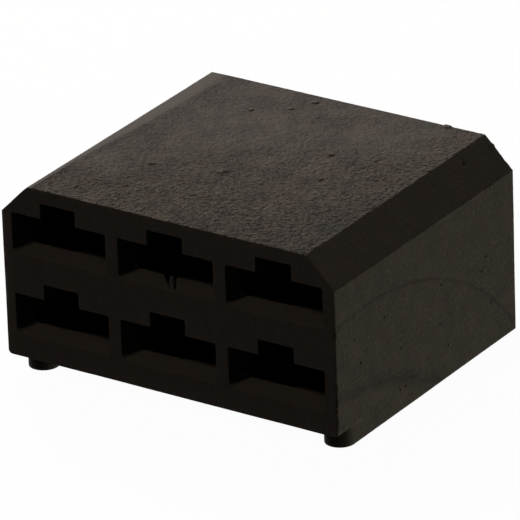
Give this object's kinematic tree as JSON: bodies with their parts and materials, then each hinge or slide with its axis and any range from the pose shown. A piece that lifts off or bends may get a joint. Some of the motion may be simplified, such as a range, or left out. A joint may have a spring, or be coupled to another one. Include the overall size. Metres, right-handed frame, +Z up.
{
  "type": "connector housing",
  "caption": "Black moulded plastic connector housing with rows of T-shaped cavities for blade receptacles, chamfered long top edges and guide rails underneath.",
  "frame": {"origin": "middle of the footprint, at the underside of the guide rails", "axes": "+X along the mating face, -Y out of the mating face, +Y out of the wire side, +Z up"},
  "size_m": [0.027, 0.0228, 0.0143],
  "materials": {
    "housing": "black, grainy top face, satin sides with faint flow lines"
  },
  "bodies": {
    "root": {"connector_housing": "housing"}
  },
  "joints": []
}
